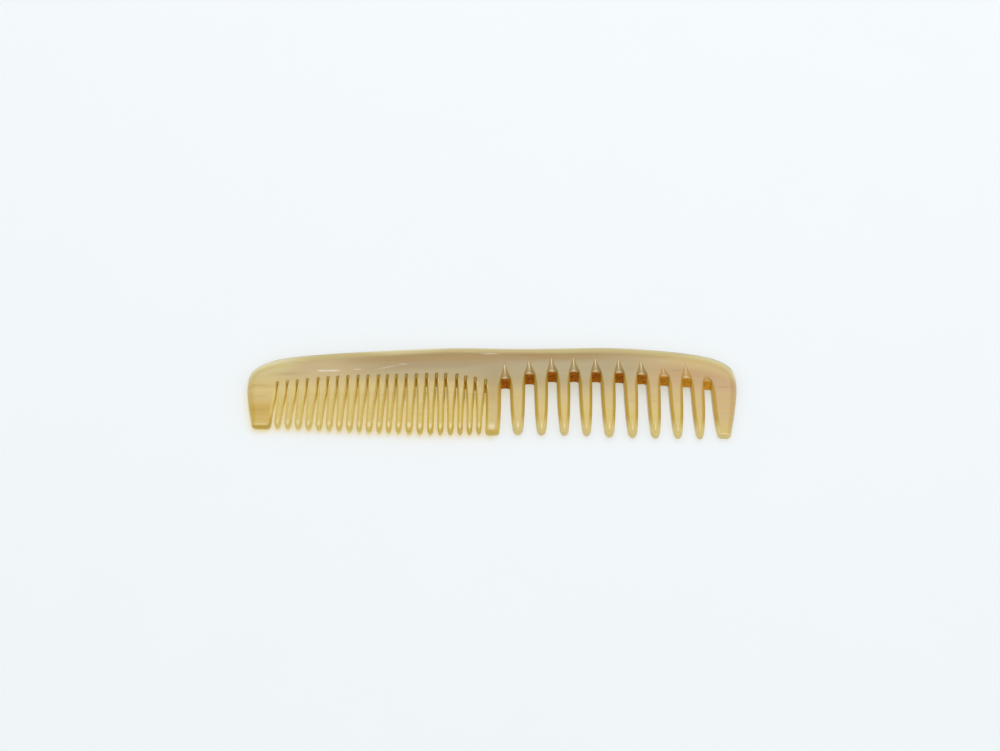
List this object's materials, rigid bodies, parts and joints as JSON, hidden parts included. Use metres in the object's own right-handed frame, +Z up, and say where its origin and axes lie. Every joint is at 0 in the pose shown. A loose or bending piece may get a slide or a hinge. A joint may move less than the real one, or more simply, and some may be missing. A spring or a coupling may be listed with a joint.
{
  "type": "horn comb",
  "caption": "Flat one-piece horn comb with fine teeth along one half and wide bevelled teeth along the other, under a gently curved rounded back.",
  "frame": {"origin": "under the middle of the comb's box, on the surface that it lies on", "axes": "+X along the comb towards the wide teeth, +Y across it towards the back edge, +Z up through its thickness"},
  "size_m": [0.14, 0.0287, 0.0056],
  "materials": {
    "horn": "polished blond horn, slightly translucent"
  },
  "bodies": {
    "root": {"comb": "horn"}
  },
  "joints": []
}
